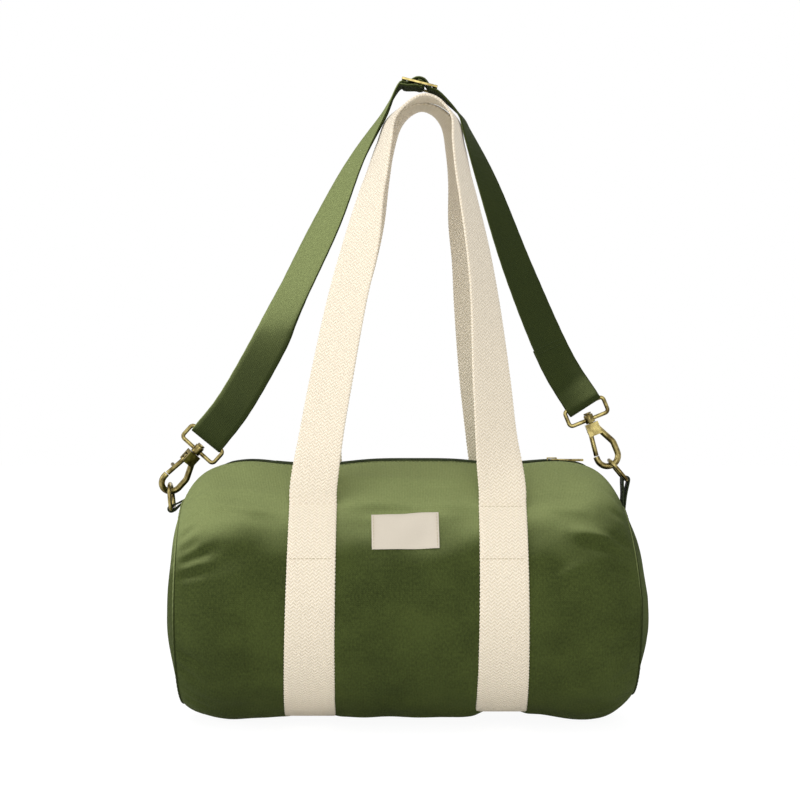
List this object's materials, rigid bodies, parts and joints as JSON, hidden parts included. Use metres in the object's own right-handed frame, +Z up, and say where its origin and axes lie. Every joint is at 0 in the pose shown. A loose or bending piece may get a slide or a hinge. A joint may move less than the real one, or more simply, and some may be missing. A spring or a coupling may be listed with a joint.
{
  "type": "barrel bag",
  "caption": "Barrel-shaped canvas bag with a top zip, webbing handles that run under the body, and a clip-on shoulder strap.",
  "frame": {"origin": "middle of the bag's base, where the webbing rests on the ground", "axes": "+X along the bag to its right end, -Y to the front with the label, +Z up to the handles"},
  "size_m": [0.4063, 0.2168, 0.5316],
  "materials": {
    "olive_canvas": "matte",
    "webbing": "matte",
    "dark_tape": "matte",
    "label_cloth": "matte",
    "antique_brass": "satin",
    "zip_brass": "satin",
    "dark_steel": "satin"
  },
  "bodies": {
    "bag": {"main_panel": "olive_canvas", "end_panel_left": "olive_canvas", "seam_binding_left": "dark_tape", "end_panel_right": "olive_canvas", "seam_binding_right": "dark_tape", "zip_end_left": "dark_tape", "zip_end_right": "dark_tape", "webbing_left": "webbing", "webbing_right": "webbing", "front_label": "label_cloth", "ring_tab_left": "dark_tape", "ring_tab_right": "dark_tape"},
    "mouth_front": {"lip_front": "olive_canvas", "zip_tape_front": "dark_tape", "zip_teeth_front": "zip_brass"},
    "mouth_back": {"lip_back": "olive_canvas", "zip_tape_back": "dark_tape", "zip_teeth_back": "zip_brass"},
    "zip_slider": {"zip_slider": "zip_brass"},
    "zip_pull": {"zip_pull": "zip_brass"},
    "handle_front": {"handle_front": "webbing"},
    "handle_back": {"handle_back": "webbing"},
    "ring_left": {"d_ring_left": "antique_brass"},
    "ring_right": {"d_ring_right": "antique_brass"},
    "strap": {"shoulder_strap": "olive_canvas", "strap_adjuster": "antique_brass", "hook_eye_left": "antique_brass", "hook_eye_right": "antique_brass"},
    "hook_left": {"hook_body_left": "antique_brass", "swivel_rivet_left": "dark_steel", "gate_pin_left": "antique_brass", "gate_spring_left": "antique_brass"},
    "gate_left": {"gate_left": "antique_brass"},
    "hook_right": {"hook_body_right": "antique_brass", "swivel_rivet_right": "dark_steel", "gate_pin_right": "antique_brass", "gate_spring_right": "antique_brass"},
    "gate_right": {"gate_right": "antique_brass"}
  },
  "joints": [
    {"name": "mouth_front_open", "type": "hinge", "parent": "bag", "child": "mouth_front", "pos_m": [0, -0.06814, 0.1871], "axis": [1, 0, 0], "range_deg": [0, 45]},
    {"name": "mouth_back_open", "type": "hinge", "parent": "bag", "child": "mouth_back", "pos_m": [0, 0.06814, 0.1871], "axis": [-1, 0, 0], "range_deg": [0, 45]},
    {"name": "zip_slide", "type": "slide", "parent": "bag", "child": "zip_slider", "axis": [-1, 0, 0], "range_m": [0, 0.24]},
    {"name": "zip_pull_flip", "type": "hinge", "parent": "zip_slider", "child": "zip_pull", "pos_m": [0.12, 0, 0.2147], "axis": [0, -1, 0], "range_deg": [0, 165]},
    {"name": "handle_front_fold", "type": "hinge", "parent": "bag", "child": "handle_front", "pos_m": [0, -0.07696, 0.18195], "axis": [1, 0, 0], "range_deg": [0, 120]},
    {"name": "handle_back_fold", "type": "hinge", "parent": "bag", "child": "handle_back", "pos_m": [0, 0.07696, 0.18195], "axis": [-1, 0, 0], "range_deg": [0, 120]},
    {"name": "ring_left_swing", "type": "hinge", "parent": "bag", "child": "ring_left", "pos_m": [-0.1955, 0, 0.17449], "axis": [0, 1, 0], "range_deg": [-3, 3]},
    {"name": "ring_right_swing", "type": "hinge", "parent": "bag", "child": "ring_right", "pos_m": [0.181, 0, 0.19879], "axis": [0, 1, 0], "range_deg": [0, 5]},
    {"name": "strap_swing", "type": "hinge", "parent": "bag", "child": "strap", "pos_m": [-0.19628, 0, 0.18235], "axis": [0.9982, 0, 0.0603], "range_deg": [-20, 20]},
    {"name": "hook_left_swivel", "type": "hinge", "parent": "strap", "child": "hook_left", "pos_m": [-0.17483, -0.00126, 0.22289], "axis": [0.6691, 0, 0.7431], "range_deg": [-48, 0]},
    {"name": "gate_left_open", "type": "hinge", "parent": "hook_left", "child": "gate_left", "pos_m": [-0.18335, -0.00316, 0.21765], "axis": [0.4156, -0.829, -0.3742], "range_deg": [0, 20], "stiffness_Nm_per_rad": 0.02, "springref_deg": -28.65},
    {"name": "hook_right_swivel", "type": "hinge", "parent": "strap", "child": "hook_right", "pos_m": [0.15144, 0, 0.24852], "axis": [-0.3795, 0, 0.9252], "range_deg": [-20, 20]},
    {"name": "gate_right_open", "type": "hinge", "parent": "hook_right", "child": "gate_right", "pos_m": [0.15193, 0, 0.23835], "axis": [0, -1, 0], "range_deg": [0, 20], "stiffness_Nm_per_rad": 0.02, "springref_deg": -28.65}
  ],
  "couplings": [
    {"joint": "mouth_back_open", "follows": "mouth_front_open", "ratio": 1}
  ]
}
